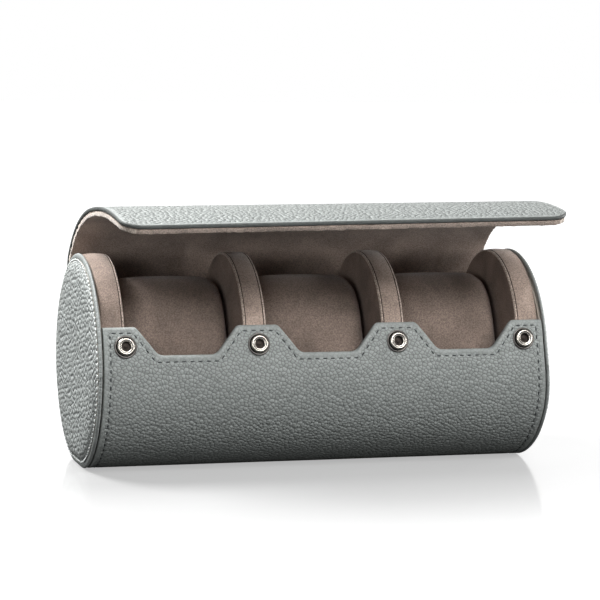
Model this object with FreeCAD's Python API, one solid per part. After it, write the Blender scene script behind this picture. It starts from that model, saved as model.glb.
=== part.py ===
import FreeCAD, Part
import math
import os

# Watch storage case: a leather roll with three compartments and an awning-like flap.
# Lengths are millimetres and angles degrees. X runs along the roll, the front is -Y, and the
# table is Z = 0. Angles of the cross section start level at the front and run over the top.

# Roll
ROLL_RADIUS = 47.0
WRAP_LENGTH = 196.4
BASE_WIDTH = 26.0
WRAP_LEATHER = 1.2
WRAP_BOARD = 2.0
WRAP_LINING = 0.8
HINGE_ANGLE = 150.0

# Front panel with its tabs and scallops
TAB_ANGLE = 25.7
VALLEY_ANGLE = 10.2
SLOPE_WIDTH = 9.4
INNER_TAB_HALF_WIDTH = 9.0
OUTER_TAB_WIDTH = 14.2
TAB_CORNER_RADIUS = 2.2
VALLEY_CORNER_RADIUS = 5.0

# Dividers and compartments
DIVIDER_WIDTH = 10.5
DIVIDER_PITCH = 62.0
DIVIDER_TOP_DEPTH = 1.2
DIVIDER_TOP_ANGLE = 88.0
DIVIDER_FRONT_DEPTH = 5.8
DIVIDER_SHOULDER_ANGLES = (18.0, 143.0)
DIVIDER_PANEL = 1.0
DIVIDER_BAND = 1.2
FIT = 0.1

# Pillows, as an oval section between the spaces left for a watch strap
STRAP_SPACE_FRONT = 18.0
STRAP_SPACE_BACK = 13.0
PILLOW_TOP_DEPTH = 10.0
PILLOW_SIDE_GAP = 0.5
PILLOW_SEAT_GAP = 0.3
PILLOW_EDGE_RADIUS = 6.0
PILLOW_CROWN_SHARE = 0.8
PILLOW_COVER = 1.5

# End caps, from the wrap outwards
CAP_WELT_WIDTH = 2.8
CAP_WELT_START = 0.3
CAP_WELT_EDGE = 1.2
CAP_BOARD = 1.5
CAP_PADDING = 0.8
CAP_LEATHER = 0.9
CAP_FACE_EDGE = 0.5

# Flap, closed as flats that touch a circle just outside the roll
FLAP_OVERHANG = 0.8
FLAP_CLEARANCE = 0.3
FLAP_LINING = 1.8
FLAP_BOARD = 1.0
FLAP_LEATHER = 1.2
FLAP_CORNER_RADIUS = 10.0
FLAP_FLAT_ANGLE = 26.0
FLAP_FLATS = 6
FLAP_END_ANGLE = -12.0
FLAP_REST_HEADINGS = (42.0, 64.0, 80.0, 87.0, 95.0, 103.0)

# Snap studs on the front panel and sockets in the flap
STUD_ANGLE = 14.9
STUD_END_DISTANCE = 9.3
STUD_FLANGE_DIAMETER = 9.5
STUD_SEAT_DEPTH = 0.2
STUD_FLANGE_HEIGHT = 0.4
STUD_DIAMETER = 7.0
STUD_HEIGHT = 1.9
STUD_EDGE = 0.5
STUD_HOLE_DIAMETER = 3.5
STUD_HOLE_DEPTH = 1.8
SHANK_DIAMETER = 3.2
STUD_BACK_DIAMETER = 8.0
STUD_BACK_THICKNESS = 0.6
STUD_BACK_DEPTH = 3.0
SOCKET_DIAMETER = 10.0
SOCKET_BORE = 7.4
SOCKET_HEIGHT = 1.5
SOCKET_BACK_DIAMETER = 8.0

# Worked out from the sizes above
AXIS_HEIGHT = math.sqrt(ROLL_RADIUS ** 2 - (BASE_WIDTH / 2) ** 2)
BOARD_RADIUS = ROLL_RADIUS - WRAP_LEATHER
LINING_RADIUS = BOARD_RADIUS - WRAP_BOARD
INNER_RADIUS = LINING_RADIUS - WRAP_LINING
WALL = ROLL_RADIUS - INNER_RADIUS
WRAP_END = WRAP_LENGTH / 2
DIVIDER_RADIUS = INNER_RADIUS - FIT
MIDDLE_FACE = DIVIDER_PITCH / 2 - DIVIDER_WIDTH / 2
OUTER_FACE = DIVIDER_PITCH / 2 + DIVIDER_WIDTH / 2
END_FACE = WRAP_END - DIVIDER_WIDTH
FLAP_WIDTH = WRAP_LENGTH + 2 * FLAP_OVERHANG
FLAP_INNER_RADIUS = ROLL_RADIUS + FLAP_CLEARANCE
FLAP_THICKNESS = FLAP_LINING + FLAP_BOARD + FLAP_LEATHER
STUD_OUTER_X = WRAP_END - STUD_END_DISTANCE
STUD_PLACES = (-STUD_OUTER_X, -DIVIDER_PITCH / 2, DIVIDER_PITCH / 2, STUD_OUTER_X)
STUD_SEAT = ROLL_RADIUS - STUD_SEAT_DEPTH
STUD_TOP = ROLL_RADIUS + STUD_HEIGHT
STUD_BACK_SEAT = ROLL_RADIUS - STUD_BACK_DEPTH
OVERRUN = ROLL_RADIUS

os.makedirs("parts", exist_ok=True)


def polar(radius, angle):
    """A point (y, z) of the cross section at a distance from the roll's axis."""
    turn = math.radians(angle)
    return (-radius * math.cos(turn), AXIS_HEIGHT + radius * math.sin(turn))


def place(x, point):
    """A point of the cross section, set at x along the roll."""
    return FreeCAD.Vector(x, point[0], point[1])


def extrude_section(edges, x_start, width):
    """A solid from a closed outline in the cross section at x_start."""
    face = Part.Face(Part.Wire(edges))
    return face.extrude(FreeCAD.Vector(width, 0, 0))


def prism(points, x_start, width):
    """A solid from a straight-sided outline of the cross section."""
    corners = [place(x_start, point) for point in points]
    edges = Part.makePolygon(corners + corners[:1]).Edges
    return extrude_section(edges, x_start, width)


def arc(x, first, middle, last):
    """An arc of the cross section through three points."""
    return Part.Arc(place(x, first), place(x, middle), place(x, last)).toShape()


def line(x, first, last):
    """A straight edge of the cross section."""
    return Part.LineSegment(place(x, first), place(x, last)).toShape()


def drum(radius, floor, x_start, width):
    """A cylinder about the roll's axis with a flat at the height of the floor."""
    axis_start = FreeCAD.Vector(x_start, 0, AXIS_HEIGHT)
    cylinder = Part.makeCylinder(radius, width, axis_start, FreeCAD.Vector(1, 0, 0))
    corner = FreeCAD.Vector(x_start, -radius, floor)
    return cylinder.common(Part.makeBox(width, 2 * radius, 2 * radius, corner))


def rounded_outline(corners, to_space):
    """A closed wire whose corners (u, v, radius) are rounded by tangent arcs."""
    bends = []
    for index, (u, v, radius) in enumerate(corners):
        corner = FreeCAD.Vector(u, v, 0)
        before = FreeCAD.Vector(*corners[index - 1][:2], 0) - corner
        after = FreeCAD.Vector(*corners[(index + 1) % len(corners)][:2], 0) - corner
        before.normalize()
        after.normalize()
        half = before.getAngle(after) / 2
        reach = radius / math.tan(half)
        middle = before + after
        middle.normalize()
        peak = corner + middle * (radius / math.sin(half) - radius)
        bends.append((corner + before * reach, peak, corner + after * reach, radius))
    edges = []
    for index, (start, peak, end, radius) in enumerate(bends):
        if radius > 0:
            points = [to_space(spot) for spot in (start, peak, end)]
            edges.append(Part.Arc(*points).toShape())
        following = bends[(index + 1) % len(bends)][0]
        edges.append(Part.LineSegment(to_space(end), to_space(following)).toShape())
    return Part.Wire(edges)


def save(name, shape):
    """Write one node and say how many solids it holds."""
    shape.exportStep(os.path.join("parts", name + ".step"))
    print(f"{name}: {len(shape.Solids)} solids, {shape.Volume:.1f} mm3, valid {shape.isValid()}")


# Wrap: leather, board and lining share the scalloped front edge and the hinge line

def front_cutter():
    """Everything in front of the axis that lies above the scalloped edge."""
    tab_top = AXIS_HEIGHT + ROLL_RADIUS * math.sin(math.radians(TAB_ANGLE))
    valley = AXIS_HEIGHT + ROLL_RADIUS * math.sin(math.radians(VALLEY_ANGLE))
    outer_tab = WRAP_END - OUTER_TAB_WIDTH
    inner_tab = (DIVIDER_PITCH / 2 - INNER_TAB_HALF_WIDTH, DIVIDER_PITCH / 2 + INNER_TAB_HALF_WIDTH)
    gaps = [(-outer_tab, -inner_tab[1]), (-inner_tab[0], inner_tab[0]), (inner_tab[1], outer_tab)]
    corners = [(-WRAP_END - OVERRUN, tab_top, 0)]
    for left, right in gaps:
        corners.append((left, tab_top, TAB_CORNER_RADIUS))
        corners.append((left + SLOPE_WIDTH, valley, VALLEY_CORNER_RADIUS))
        corners.append((right - SLOPE_WIDTH, valley, VALLEY_CORNER_RADIUS))
        corners.append((right, tab_top, TAB_CORNER_RADIUS))
    corners.append((WRAP_END + OVERRUN, tab_top, 0))
    corners.append((WRAP_END + OVERRUN, AXIS_HEIGHT + ROLL_RADIUS + OVERRUN, 0))
    corners.append((-WRAP_END - OVERRUN, AXIS_HEIGHT + ROLL_RADIUS + OVERRUN, 0))
    wire = rounded_outline(corners, lambda spot: FreeCAD.Vector(spot.x, 0, spot.y))
    return Part.Face(wire).extrude(FreeCAD.Vector(0, -ROLL_RADIUS - OVERRUN, 0))


def back_cutter():
    """Everything behind the axis that lies above the hinge line."""
    reach = ROLL_RADIUS + OVERRUN
    centre = (0, AXIS_HEIGHT)
    top = (0, AXIS_HEIGHT + reach)
    corner = (reach, AXIS_HEIGHT + reach)
    return prism([centre, polar(reach, HINGE_ANGLE), corner, top], -WRAP_END, WRAP_LENGTH)


def wrap_layer(outer_radius, thickness, openings):
    """One curved layer of the wrap."""
    floor = ROLL_RADIUS - outer_radius
    outer = drum(outer_radius, floor, -WRAP_END, WRAP_LENGTH)
    inner = drum(outer_radius - thickness, floor + thickness, -WRAP_END, WRAP_LENGTH)
    layer = outer.cut(inner)
    for opening in openings:
        layer = layer.cut(opening)
    return layer


def stud_axis():
    """The direction in which a stud stands out of the front panel."""
    turn = math.radians(STUD_ANGLE)
    return FreeCAD.Vector(0, -math.cos(turn), math.sin(turn))


def stud_disc(x, diameter, inner, outer):
    """A disc on a stud's axis between two distances from the roll's axis."""
    start = FreeCAD.Vector(x, 0, AXIS_HEIGHT) + stud_axis() * inner
    return Part.makeCylinder(diameter / 2, outer - inner, start, stud_axis())


def make_wrap():
    openings = [front_cutter(), back_cutter()]
    leather = wrap_layer(ROLL_RADIUS, WRAP_LEATHER, openings)
    board = wrap_layer(BOARD_RADIUS, WRAP_BOARD, openings)
    lining = wrap_layer(LINING_RADIUS, WRAP_LINING, openings)
    back_top = STUD_BACK_SEAT + STUD_BACK_THICKNESS
    for x in STUD_PLACES:
        seat = stud_disc(x, STUD_FLANGE_DIAMETER + 2 * FIT, STUD_SEAT, ROLL_RADIUS + OVERRUN)
        shank_hole = stud_disc(x, SHANK_DIAMETER + 2 * FIT, LINING_RADIUS, ROLL_RADIUS)
        back_seat = stud_disc(x, STUD_BACK_DIAMETER + 2 * FIT, INNER_RADIUS, back_top + FIT)
        leather = leather.cut(seat).cut(shank_hole)
        board = board.cut(shank_hole).cut(back_seat)
    save("outer_wrap", leather)
    save("wrap_board", board)
    save("body_lining", lining)


# Snap studs and the rivet backs inside the board

def make_stud(x):
    flange = stud_disc(x, STUD_FLANGE_DIAMETER, STUD_SEAT, ROLL_RADIUS + STUD_FLANGE_HEIGHT)
    post = stud_disc(x, STUD_DIAMETER, STUD_SEAT, STUD_TOP)
    post = post.makeFillet(STUD_EDGE, [edge for edge in post.Edges if is_top_rim(edge)])
    shank = stud_disc(x, SHANK_DIAMETER, STUD_BACK_SEAT + STUD_BACK_THICKNESS, STUD_SEAT)
    hole = stud_disc(x, STUD_HOLE_DIAMETER, STUD_TOP - STUD_HOLE_DEPTH, STUD_TOP + OVERRUN)
    return flange.fuse(post).fuse(shank).removeSplitter().cut(hole)


def is_top_rim(edge):
    """Whether a post's round edge is the one furthest from the roll's axis."""
    if len(edge.Vertexes) != 1:
        return False
    centre = edge.Curve.Center - FreeCAD.Vector(edge.Curve.Center.x, 0, AXIS_HEIGHT)
    return centre.dot(stud_axis()) > ROLL_RADIUS + STUD_FLANGE_HEIGHT


def make_snaps():
    studs = [make_stud(x) for x in STUD_PLACES]
    save("snap_studs", Part.makeCompound(studs))
    back_top = STUD_BACK_SEAT + STUD_BACK_THICKNESS
    backs = [stud_disc(x, STUD_BACK_DIAMETER, STUD_BACK_SEAT, back_top) for x in STUD_PLACES]
    save("stud_backs", Part.makeCompound(backs))


# Dividers: a foam core between suede panels, with a suede band over the open edge

def divider_crown(x, inset):
    """The arc of the open edge, and its two ends, moved inwards by the inset."""
    front, back = DIVIDER_SHOULDER_ANGLES
    through = [place(x, polar(ROLL_RADIUS - DIVIDER_FRONT_DEPTH, front)),
               place(x, polar(ROLL_RADIUS - DIVIDER_TOP_DEPTH, DIVIDER_TOP_ANGLE)),
               place(x, polar(DIVIDER_RADIUS, back))]
    centre = Part.Arc(*through).toShape().Curve.Center
    moved = []
    for point in through:
        outward = point - centre
        outward.normalize()
        moved.append(point - outward * inset)
    return moved


def divider_blank(x_start, width):
    """A disc that fits the wrap and leaves room for the band over its crown."""
    front, back = DIVIDER_SHOULDER_ANGLES
    floor = WALL + FIT
    base_angle = math.degrees(math.asin((floor - AXIS_HEIGHT) / DIVIDER_RADIUS))
    base_front = polar(DIVIDER_RADIUS, base_angle)
    base_back = polar(DIVIDER_RADIUS, 180 - base_angle)
    crown = divider_crown(x_start, DIVIDER_BAND)
    front -= math.degrees(DIVIDER_BAND / DIVIDER_RADIUS)
    front_shoulder = polar(DIVIDER_RADIUS, front)
    back_shoulder = polar(DIVIDER_RADIUS, back)
    front_middle = polar(DIVIDER_RADIUS, (front + base_angle) / 2)
    back_middle = polar(DIVIDER_RADIUS, (back + 180 - base_angle) / 2)
    edges = [arc(x_start, front_shoulder, front_middle, base_front),
             line(x_start, base_front, base_back),
             arc(x_start, base_back, back_middle, back_shoulder),
             Part.LineSegment(place(x_start, back_shoulder), crown[2]).toShape(),
             Part.Arc(crown[2], crown[1], crown[0]).toShape(),
             Part.LineSegment(crown[0], place(x_start, front_shoulder)).toShape()]
    return extrude_section(edges, x_start, width)


def divider_band(x_start, width):
    """The padded strip over the crown."""
    outer = divider_crown(x_start, 0)
    inner = divider_crown(x_start, DIVIDER_BAND)
    edges = [Part.Arc(*outer).toShape(),
             Part.LineSegment(outer[2], inner[2]).toShape(),
             Part.Arc(inner[2], inner[1], inner[0]).toShape(),
             Part.LineSegment(inner[0], outer[0]).toShape()]
    return extrude_section(edges, x_start, width)


def make_divider(name, x_start, panel_sides):
    """One divider; panel_sides says which of its faces look into a compartment."""
    core_start = x_start
    core_width = DIVIDER_WIDTH
    panels = []
    if "left" in panel_sides:
        panels.append(divider_blank(x_start, DIVIDER_PANEL))
        core_start += DIVIDER_PANEL
        core_width -= DIVIDER_PANEL
    if "right" in panel_sides:
        panels.append(divider_blank(x_start + DIVIDER_WIDTH - DIVIDER_PANEL, DIVIDER_PANEL))
        core_width -= DIVIDER_PANEL
    save(name + "_core", divider_blank(core_start, core_width))
    save(name + "_panels", Part.makeCompound(panels))
    save(name + "_band", divider_band(x_start, DIVIDER_WIDTH))


def make_dividers():
    make_divider("left_end_divider", -WRAP_END, ("right",))
    make_divider("left_divider", -OUTER_FACE, ("left", "right"))
    make_divider("right_divider", MIDDLE_FACE, ("left", "right"))
    make_divider("right_end_divider", END_FACE, ("left",))


# Pillows: a foam core in a suede cover, with rounded ends

def pillow_solid(x_start, width, inset):
    """An oval cushion of four tangent arcs with rounded ends, shrunk all round by the inset."""
    bottom = WALL + PILLOW_SEAT_GAP + inset
    top = AXIS_HEIGHT + ROLL_RADIUS - PILLOW_TOP_DEPTH - inset
    front = STRAP_SPACE_FRONT - INNER_RADIUS + inset
    back = INNER_RADIUS - STRAP_SPACE_BACK - inset
    depth = (back - front) / 2
    height = (top - bottom) / 2
    middle = (top + bottom) / 2
    crown = PILLOW_CROWN_SHARE * (depth + inset) - inset
    rise = height - crown
    flank = (depth ** 2 + rise ** 2 - crown ** 2) / (2 * (depth - crown))
    lean = math.atan2(rise, flank - depth)
    shoulder_y = crown * math.cos(lean)
    shoulder_z = rise + crown * math.sin(lean)

    def spot(y, z):
        return ((front + back) / 2 + y, middle + z)

    front_top = spot(-shoulder_y, shoulder_z)
    back_top = spot(shoulder_y, shoulder_z)
    front_bottom = spot(-shoulder_y, -shoulder_z)
    back_bottom = spot(shoulder_y, -shoulder_z)
    edges = [arc(x_start, front_top, spot(0, height), back_top),
             arc(x_start, back_top, spot(depth, 0), back_bottom),
             arc(x_start, back_bottom, spot(0, -height), front_bottom),
             arc(x_start, front_bottom, spot(-depth, 0), front_top)]
    solid = extrude_section(edges, x_start, width)
    ends = [edge for edge in solid.Edges if edge.BoundBox.XLength < FIT]
    return solid.makeFillet(PILLOW_EDGE_RADIUS - inset, ends)


def make_pillow(name, left, right):
    """One pillow between two divider faces."""
    x_start = left + PILLOW_SIDE_GAP
    width = right - left - 2 * PILLOW_SIDE_GAP
    outside = pillow_solid(x_start, width, 0)
    core = pillow_solid(x_start + PILLOW_COVER, width - 2 * PILLOW_COVER, PILLOW_COVER)
    save(name + "_cover", outside.cut(core))
    save(name + "_core", core)


def make_pillows():
    make_pillow("left_pillow", -END_FACE, -OUTER_FACE)
    make_pillow("middle_pillow", -MIDDLE_FACE, MIDDLE_FACE)
    make_pillow("right_pillow", OUTER_FACE, END_FACE)


# End caps: board, padding and leather face inside a rounded welt

def cap_piece(side, radius, start, thickness):
    """A disc of a cap; start is its distance outside the end of the wrap."""
    x_start = WRAP_END + start
    if side < 0:
        x_start = -WRAP_END - start - thickness
    return drum(radius, ROLL_RADIUS - radius, x_start, thickness)


def outer_edges(solid, x):
    """The edges of a cap piece that lie in its outside face."""
    return [edge for edge in solid.Edges if abs(edge.BoundBox.Center.x - x) < FIT
            and edge.BoundBox.XLength < FIT]


def make_cap(name, side):
    disc_radius = ROLL_RADIUS - CAP_WELT_WIDTH
    outside = CAP_BOARD + CAP_PADDING + CAP_LEATHER
    welt = cap_piece(side, ROLL_RADIUS, CAP_WELT_START, outside - CAP_WELT_START)
    face_x = side * (WRAP_END + outside)
    welt = welt.makeFillet(CAP_WELT_EDGE, outer_edges(welt, face_x))
    welt = welt.cut(cap_piece(side, disc_radius, 0, outside + OVERRUN))
    face = cap_piece(side, disc_radius - FIT, CAP_BOARD + CAP_PADDING, CAP_LEATHER)
    face = face.makeFillet(CAP_FACE_EDGE, outer_edges(face, face_x))
    save(name + "_welt", welt)
    save(name + "_board", cap_piece(side, disc_radius - FIT, 0, CAP_BOARD))
    save(name + "_padding", cap_piece(side, disc_radius - FIT, CAP_BOARD, CAP_PADDING))
    save(name + "_face", face)


# Flap: flats that lie round the roll when it is closed and stand like an awning at rest

def direction(heading):
    """The way along the flap for a heading measured forwards from straight up."""
    turn = math.radians(heading)
    return (-math.sin(turn), math.cos(turn))


def outward(heading):
    """The way from the lining to the leather for a heading."""
    turn = math.radians(heading)
    return (math.cos(turn), math.sin(turn))


def step(point, way, distance):
    return (point[0] + way[0] * distance, point[1] + way[1] * distance)


def closed_fold_radius():
    return FLAP_INNER_RADIUS / math.cos(math.radians(FLAP_FLAT_ANGLE / 2))


def socket_flat():
    """The flat whose middle comes to lie on the studs."""
    return FLAP_FLATS - 2


def first_fold_angle():
    return STUD_ANGLE + (socket_flat() + 0.5) * FLAP_FLAT_ANGLE


def closed_headings():
    """Headings of the back strip and of each flat when the flap is closed."""
    hinge = polar(INNER_RADIUS, HINGE_ANGLE)
    fold = polar(closed_fold_radius(), first_fold_angle())
    strip = math.degrees(math.atan2(hinge[0] - fold[0], fold[1] - hinge[1]))
    first = 180 - first_fold_angle() + FLAP_FLAT_ANGLE / 2
    return [strip] + [first + FLAP_FLAT_ANGLE * index for index in range(FLAP_FLATS)]


def flap_lengths():
    """Lengths of the back strip and of each flat along the lining."""
    hinge = polar(INNER_RADIUS, HINGE_ANGLE)
    fold = polar(closed_fold_radius(), first_fold_angle())
    strip = math.hypot(hinge[0] - fold[0], hinge[1] - fold[1])
    half_flat = FLAP_INNER_RADIUS * math.tan(math.radians(FLAP_FLAT_ANGLE / 2))
    last_touch = STUD_ANGLE - FLAP_FLAT_ANGLE
    lip = FLAP_INNER_RADIUS * math.tan(math.radians(last_touch - FLAP_END_ANGLE))
    return [strip] + [2 * half_flat] * (FLAP_FLATS - 1) + [half_flat + lip]


def rest_headings():
    """The back strip keeps its closed heading, and the flats stand as they rest."""
    return [closed_headings()[0]] + list(FLAP_REST_HEADINGS)


def fold_points():
    """The folds on the lining at rest, from the hinge line to the front edge."""
    points = [polar(INNER_RADIUS, HINGE_ANGLE)]
    for heading, length in zip(rest_headings(), flap_lengths()):
        points.append(step(points[-1], direction(heading), length))
    return points


def closing_turns():
    """How far each fold turns to close the flap, in degrees."""
    closed = closed_headings()
    rest = rest_headings()
    turns = []
    for index in range(1, len(closed)):
        turns.append((closed[index] - closed[index - 1]) - (rest[index] - rest[index - 1]))
    return turns


def fold_section(index, offset):
    """The point of a fold's parting plane at a height above the lining's inside."""
    headings = rest_headings()
    point = fold_points()[index]
    if index == 0:
        way = outward(180 - HINGE_ANGLE)
        lean = math.radians(180 - HINGE_ANGLE - headings[0])
        return step(point, way, offset / math.cos(lean))
    if index == len(headings):
        return step(point, outward(headings[-1]), offset)
    before = headings[index - 1]
    after = headings[index]
    lean = math.radians((after - before) / 2)
    return step(point, outward((before + after) / 2), offset / math.cos(lean))


def flap_slab(index, inner, outer, inset):
    """One layer of a flap section between two heights above the lining's inside."""
    corners = [fold_section(index, inner), fold_section(index + 1, inner),
               fold_section(index + 1, outer), fold_section(index, outer)]
    slab = prism(corners, -FLAP_WIDTH / 2 + inset, FLAP_WIDTH - 2 * inset)
    if index == FLAP_FLATS:
        slab = slab.common(front_outline(inset))
    return slab


def front_outline(inset):
    """The last flat's plan with the flap's rounded front corners."""
    heading = rest_headings()[-1]
    start = fold_points()[-2]
    along = direction(heading)
    across = outward(heading)
    reach = flap_lengths()[-1] - inset
    half = FLAP_WIDTH / 2 - inset
    corner = FLAP_CORNER_RADIUS - inset
    plan = [(-half, -FLAP_CORNER_RADIUS, 0), (half, -FLAP_CORNER_RADIUS, 0),
            (half, reach, corner), (-half, reach, corner)]

    def to_space(spot):
        below = step(step(start, along, spot.y), across, -FLAP_THICKNESS)
        return FreeCAD.Vector(spot.x, below[0], below[1])

    rise = FreeCAD.Vector(0, across[0], across[1]) * (3 * FLAP_THICKNESS)
    return Part.Face(rounded_outline(plan, to_space)).extrude(rise)


def socket_disc(x, diameter, inner, outer):
    """A disc on a socket's axis between two heights above the lining's inside."""
    index = socket_flat() + 1
    heading = rest_headings()[index]
    middle = step(fold_points()[index], direction(heading), flap_lengths()[index] / 2)
    way = outward(heading)
    base = place(x, step(middle, way, inner))
    return Part.makeCylinder(diameter / 2, outer - inner, base, FreeCAD.Vector(0, way[0], way[1]))


def make_back_strip():
    """The flexible strip between the caps, leather on suede with no board."""
    inset = FLAP_OVERHANG + FLAP_CLEARANCE
    save("flap_strip_leather", flap_slab(0, FLAP_LINING, FLAP_THICKNESS, inset))
    save("flap_strip_lining", flap_slab(0, 0, FLAP_LINING, inset))


def make_flat(number):
    """One flat of the flap: leather turned over a board, and a suede lining."""
    board_top = FLAP_LINING + FLAP_BOARD
    leather = flap_slab(number, FLAP_LINING, FLAP_THICKNESS, 0)
    board = flap_slab(number, FLAP_LINING, board_top, FLAP_LEATHER)
    lining = flap_slab(number, 0, FLAP_LINING, 0)
    leather = leather.cut(board)
    if number == socket_flat() + 1:
        for x in STUD_PLACES:
            back_hole = socket_disc(x, SOCKET_BACK_DIAMETER + 2 * FIT, FLAP_LINING, board_top)
            lining = lining.cut(socket_disc(x, SOCKET_DIAMETER + 2 * FIT, 0, FLAP_LINING))
            board = board.cut(back_hole)
    save(f"flap_{number}_leather", leather)
    save(f"flap_{number}_board", board)
    save(f"flap_{number}_lining", lining)


def make_sockets():
    """Ring sockets sunk in the lining, each held by a back inside the board."""
    start = FLAP_LINING - SOCKET_HEIGHT
    rings = []
    backs = []
    for x in STUD_PLACES:
        ring = socket_disc(x, SOCKET_DIAMETER, start, FLAP_LINING)
        rings.append(ring.cut(socket_disc(x, SOCKET_BORE, start, FLAP_LINING)))
        backs.append(socket_disc(x, SOCKET_BACK_DIAMETER, FLAP_LINING, FLAP_LINING + FLAP_BOARD))
    save("snap_sockets", Part.makeCompound(rings))
    save("socket_backs", Part.makeCompound(backs))


def make_flap():
    make_back_strip()
    for number in range(1, FLAP_FLATS + 1):
        make_flat(number)
    make_sockets()


make_wrap()
make_snaps()
make_dividers()
make_pillows()
make_cap("left_cap", -1)
make_cap("right_cap", 1)
make_flap()
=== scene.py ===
from bisect import bisect_right
from math import asin, atan2, copysign, cos, degrees, dist, exp, hypot, pi, radians, sin, sqrt, tan

import bpy
from mathutils import Matrix, Vector, noise


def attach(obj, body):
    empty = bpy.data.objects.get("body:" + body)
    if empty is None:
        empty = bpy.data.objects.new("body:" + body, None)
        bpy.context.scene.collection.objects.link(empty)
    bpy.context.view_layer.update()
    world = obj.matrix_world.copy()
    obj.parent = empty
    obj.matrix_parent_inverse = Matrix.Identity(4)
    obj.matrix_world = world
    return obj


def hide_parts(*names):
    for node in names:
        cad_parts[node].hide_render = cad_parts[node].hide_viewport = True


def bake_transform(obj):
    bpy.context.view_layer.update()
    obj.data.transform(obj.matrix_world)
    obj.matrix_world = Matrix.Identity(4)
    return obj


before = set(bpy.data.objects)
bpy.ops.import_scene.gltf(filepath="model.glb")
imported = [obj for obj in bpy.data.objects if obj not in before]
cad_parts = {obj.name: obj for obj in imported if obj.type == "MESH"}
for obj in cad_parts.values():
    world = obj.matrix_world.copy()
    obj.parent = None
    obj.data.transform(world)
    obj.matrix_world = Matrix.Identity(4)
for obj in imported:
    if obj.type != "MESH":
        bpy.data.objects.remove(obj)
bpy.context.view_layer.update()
bpy.ops.object.select_all(action="DESELECT")

# Sizes of the roll, in metres
MM = 0.001
ROLL_RADIUS = 47.0 * MM
BASE_HALF = 13.0 * MM
AXIS_HEIGHT = sqrt(ROLL_RADIUS ** 2 - BASE_HALF ** 2)
INNER_RADIUS = 43.0 * MM
WALL = 4.0 * MM
WRAP_END = 98.2 * MM
WRAP_BACK_ANGLE = 156.0
DIVIDER_WIDTH = 10.5 * MM
DIVIDER_PITCH = 62.0 * MM
TAB_ANGLE = 25.7
VALLEY_ANGLE = 10.2
STUD_ANGLE = 14.9
STUD_PLACES = [x * MM for x in (-88.9, -31.0, 31.0, 88.9)]
GIVE = 2.3 * MM
CAP_GIVE = 0.8 * MM


def polar(radius, angle):
    """A point (y, z) at a distance from the roll's axis; angles start level at the front."""
    turn = radians(angle)
    return (-radius * cos(turn), AXIS_HEIGHT + radius * sin(turn))


def within(value):
    """A value kept between 0 and 1."""
    return min(max(value, 0.0), 1.0)


def eased(share):
    """A share that starts and ends softly."""
    return share * share * (3 - 2 * share)


def give_way(piece):
    """The right end of the roll has settled a little outwards, most below its middle in front."""
    for vertex in piece.data.vertices:
        x, y, z = vertex.co
        front = eased(within((12 * MM - y) / (40 * MM)))
        low = eased(within((58 * MM - z) / (34 * MM)))
        near = within((x - 55 * MM) / (43 * MM)) ** 2
        foot = max(0.0, 1 - z / (14 * MM)) ** 2
        beyond = within((x - WRAP_END - 2.4 * MM) / (1.6 * MM))
        vertex.co.x += (GIVE + CAP_GIVE * beyond) * low * front * near * (1 - foot / 2)


# Tools of the bench

def clear_selection():
    if bpy.context.mode != "OBJECT":
        bpy.ops.object.mode_set(mode="OBJECT")
    bpy.ops.object.select_all(action="DESELECT")


def pick(piece):
    """Make one piece the active and only selected one."""
    clear_selection()
    piece.select_set(True)
    bpy.context.view_layer.objects.active = piece


def added(name):
    """The primitive that was just added, under its own name."""
    piece = bpy.context.object
    piece.name = name
    piece.data.name = name
    return piece


def edit(piece, mode="VERT", everything=False):
    pick(piece)
    bpy.ops.object.mode_set(mode="EDIT")
    bpy.ops.mesh.select_mode(type=mode)
    if everything:
        bpy.ops.mesh.select_all(action="SELECT")


def leave():
    bpy.ops.object.mode_set(mode="OBJECT")


def select_edges(piece, test):
    """Select the edges whose two ends pass a test on their numbers."""
    mesh = piece.data
    for group in (mesh.vertices, mesh.edges, mesh.polygons):
        group.foreach_set("select", [False] * len(group))
    for edge in mesh.edges:
        if test(*edge.vertices):
            edge.select = True
            for index in edge.vertices:
                mesh.vertices[index].select = True


def settle(piece):
    """Put a piece's place into its mesh."""
    pick(piece)
    bpy.ops.object.transform_apply(location=True, rotation=True, scale=True)


def modify(piece, kind, **values):
    """Add one modifier with its values and apply it."""
    pick(piece)
    modifier = piece.modifiers.new(kind.lower(), kind)
    for name, value in values.items():
        setattr(modifier, name, value)
    bpy.ops.object.modifier_apply(modifier=modifier.name)


def outward(piece):
    """Merge doubles and turn all faces outwards."""
    edit(piece, everything=True)
    bpy.ops.mesh.remove_doubles(threshold=0.00001)
    bpy.ops.mesh.normals_make_consistent(inside=False)
    leave()


def close_up(piece, bridge=False):
    """Fill the open ends of a piece that is in edit mode, or join them to each other."""
    bpy.ops.mesh.select_all(action="DESELECT")
    bpy.ops.mesh.select_non_manifold()
    if bridge:
        bpy.ops.mesh.bridge_edge_loops()
    else:
        bpy.ops.mesh.fill_holes(sides=0)
    leave()
    outward(piece)


def smooth(piece, angle):
    pick(piece)
    bpy.ops.object.shade_smooth_by_angle(angle=radians(angle))


def grid(name, columns, rows):
    """A flat sheet with a point for each column and row, and the column and row of every point."""
    bpy.ops.mesh.primitive_grid_add(x_subdivisions=len(columns) - 1, y_subdivisions=len(rows) - 1, size=1)
    piece = added(name)
    cells = []
    for vertex in piece.data.vertices:
        across, along = vertex.co.x + 0.5, vertex.co.y + 0.5
        cells.append((round(across * (len(columns) - 1)), round(along * (len(rows) - 1))))
    return piece, cells


def new_object(name, data):
    piece = bpy.data.objects.new(name, data)
    bpy.context.scene.collection.objects.link(piece)
    return piece


def lay_grain(piece, places):
    """Give each point its place on the flat hide, which the leather grain follows."""
    sheet = piece.data.attributes.new("sheet", "FLOAT_VECTOR", "POINT")
    sheet.data.foreach_set("vector", [value for place in places for value in (*place, 0.0)])


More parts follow.
